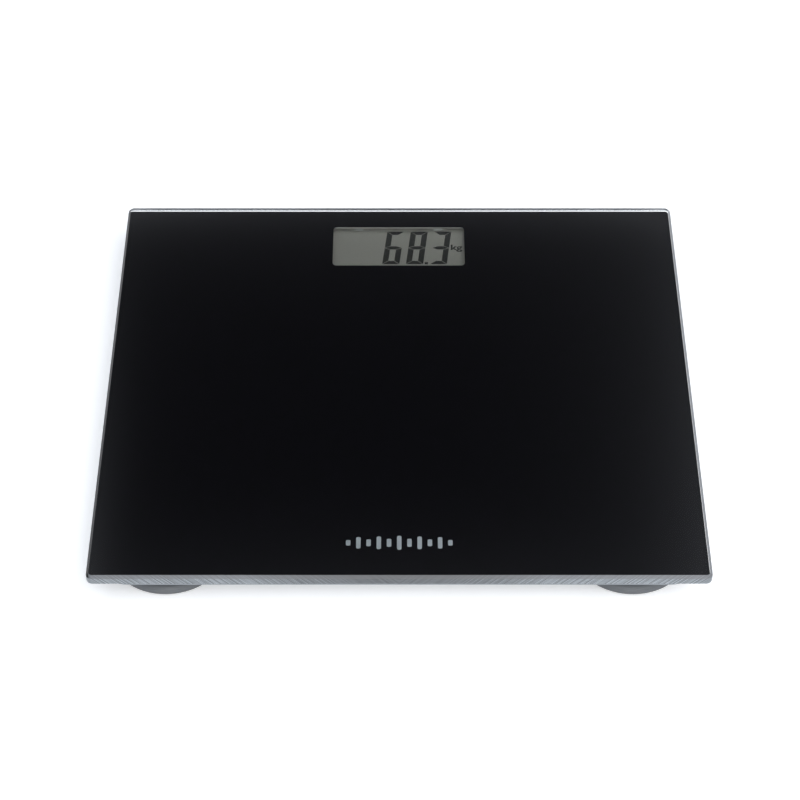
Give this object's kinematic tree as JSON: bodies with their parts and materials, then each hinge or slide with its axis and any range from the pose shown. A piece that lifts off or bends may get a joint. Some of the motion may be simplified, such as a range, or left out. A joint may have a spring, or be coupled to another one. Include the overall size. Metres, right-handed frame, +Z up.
{
  "type": "bathroom scale",
  "caption": "Flat bathroom scale: a black-backed glass platform with a display window at the back, bonded to a shallow tray on round padded feet.",
  "frame": {"origin": "on the floor, under the middle of the platform", "axes": "+Z up, +Y from the user towards the display, +X to the user's right"},
  "size_m": [0.29, 0.26, 0.022],
  "materials": {
    "dark_glass": "polished, black print on the underside",
    "tray_plastic": "fine spark texture",
    "foot_plastic": "satin",
    "inner_plastic": "satin",
    "rubber": "ribbed",
    "foam": "matt foam",
    "steel": "zinc plated",
    "nickel": "nickel plated",
    "board": "solder mask",
    "epoxy": "cured epoxy",
    "lcd_glass": "polarised glass",
    "silicone": "cured silicone",
    "wire": "PVC sleeve"
  },
  "bodies": {
    "platform": {"glass_platform": "dark_glass", "base_tray": "tray_plastic", "bonding_tape": "foam", "display_gasket": "foam", "display_frame": "inner_plastic", "lcd_front_glass": "lcd_glass", "lcd_rear_glass": "lcd_glass", "lcd_reflector": "nickel", "coin_cell": "nickel", "negative_contact": "nickel", "positive_contact": "nickel", "contact_strip": "rubber", "circuit_board": "board", "controller_chip": "epoxy", "unit_switch": "epoxy", "board_screw_1": "steel", "board_screw_2": "steel", "load_cell_front_left": "steel", "retainer_screw_front_left_1": "steel", "retainer_screw_front_left_2": "steel", "cell_carrier_front_left": "inner_plastic", "cell_retainer_front_left": "inner_plastic", "gauge_cover_front_left": "silicone", "carrier_adhesive_front_left": "foam", "cell_lead_front_left": "wire", "load_cell_front_right": "steel", "retainer_screw_front_right_1": "steel", "retainer_screw_front_right_2": "steel", "cell_carrier_front_right": "inner_plastic", "cell_retainer_front_right": "inner_plastic", "gauge_cover_front_right": "silicone", "carrier_adhesive_front_right": "foam", "cell_lead_front_right": "wire", "load_cell_rear_left": "steel", "retainer_screw_rear_left_1": "steel", "retainer_screw_rear_left_2": "steel", "cell_carrier_rear_left": "inner_plastic", "cell_retainer_rear_left": "inner_plastic", "gauge_cover_rear_left": "silicone", "carrier_adhesive_rear_left": "foam", "cell_lead_rear_left": "wire", "load_cell_rear_right": "steel", "retainer_screw_rear_right_1": "steel", "retainer_screw_rear_right_2": "steel", "cell_carrier_rear_right": "inner_plastic", "cell_retainer_rear_right": "inner_plastic", "gauge_cover_rear_right": "silicone", "carrier_adhesive_rear_right": "foam", "cell_lead_rear_right": "wire"},
    "front_left_foot": {"foot_front_left": "foot_plastic", "foot_pad_front_left": "rubber"},
    "front_right_foot": {"foot_front_right": "foot_plastic", "foot_pad_front_right": "rubber"},
    "rear_left_foot": {"foot_rear_left": "foot_plastic", "foot_pad_rear_left": "rubber"},
    "rear_right_foot": {"foot_rear_right": "foot_plastic", "foot_pad_rear_right": "rubber"},
    "door": {"battery_door": "tray_plastic"},
    "button": {"unit_button": "tray_plastic", "switch_stem": "rubber"}
  },
  "joints": [
    {"name": "front_left_foot_press", "type": "slide", "parent": "platform", "child": "front_left_foot", "axis": [0, 0, 1], "range_m": [0, 0.0005], "stiffness_N_per_m": 6000, "springref_m": -0.0009, "deforming": ["load_cell_front_left"]},
    {"name": "front_right_foot_press", "type": "slide", "parent": "platform", "child": "front_right_foot", "axis": [0, 0, 1], "range_m": [0, 0.0005], "stiffness_N_per_m": 6000, "springref_m": -0.0009, "deforming": ["load_cell_front_right"]},
    {"name": "rear_left_foot_press", "type": "slide", "parent": "platform", "child": "rear_left_foot", "axis": [0, 0, 1], "range_m": [0, 0.0005], "stiffness_N_per_m": 6000, "springref_m": -0.0009, "deforming": ["load_cell_rear_left"]},
    {"name": "rear_right_foot_press", "type": "slide", "parent": "platform", "child": "rear_right_foot", "axis": [0, 0, 1], "range_m": [0, 0.0005], "stiffness_N_per_m": 6000, "springref_m": -0.0009, "deforming": ["load_cell_rear_right"]},
    {"name": "door_hinge", "type": "hinge", "parent": "platform", "child": "door", "pos_m": [0, 0.0231, 0.0065], "axis": [-1, 0, 0], "range_deg": [0, 95]},
    {"name": "button_press", "type": "slide", "parent": "platform", "child": "button", "axis": [0, 0, 1], "range_m": [0, 0.0004], "stiffness_N_per_m": 300, "springref_m": -0.001}
  ]
}
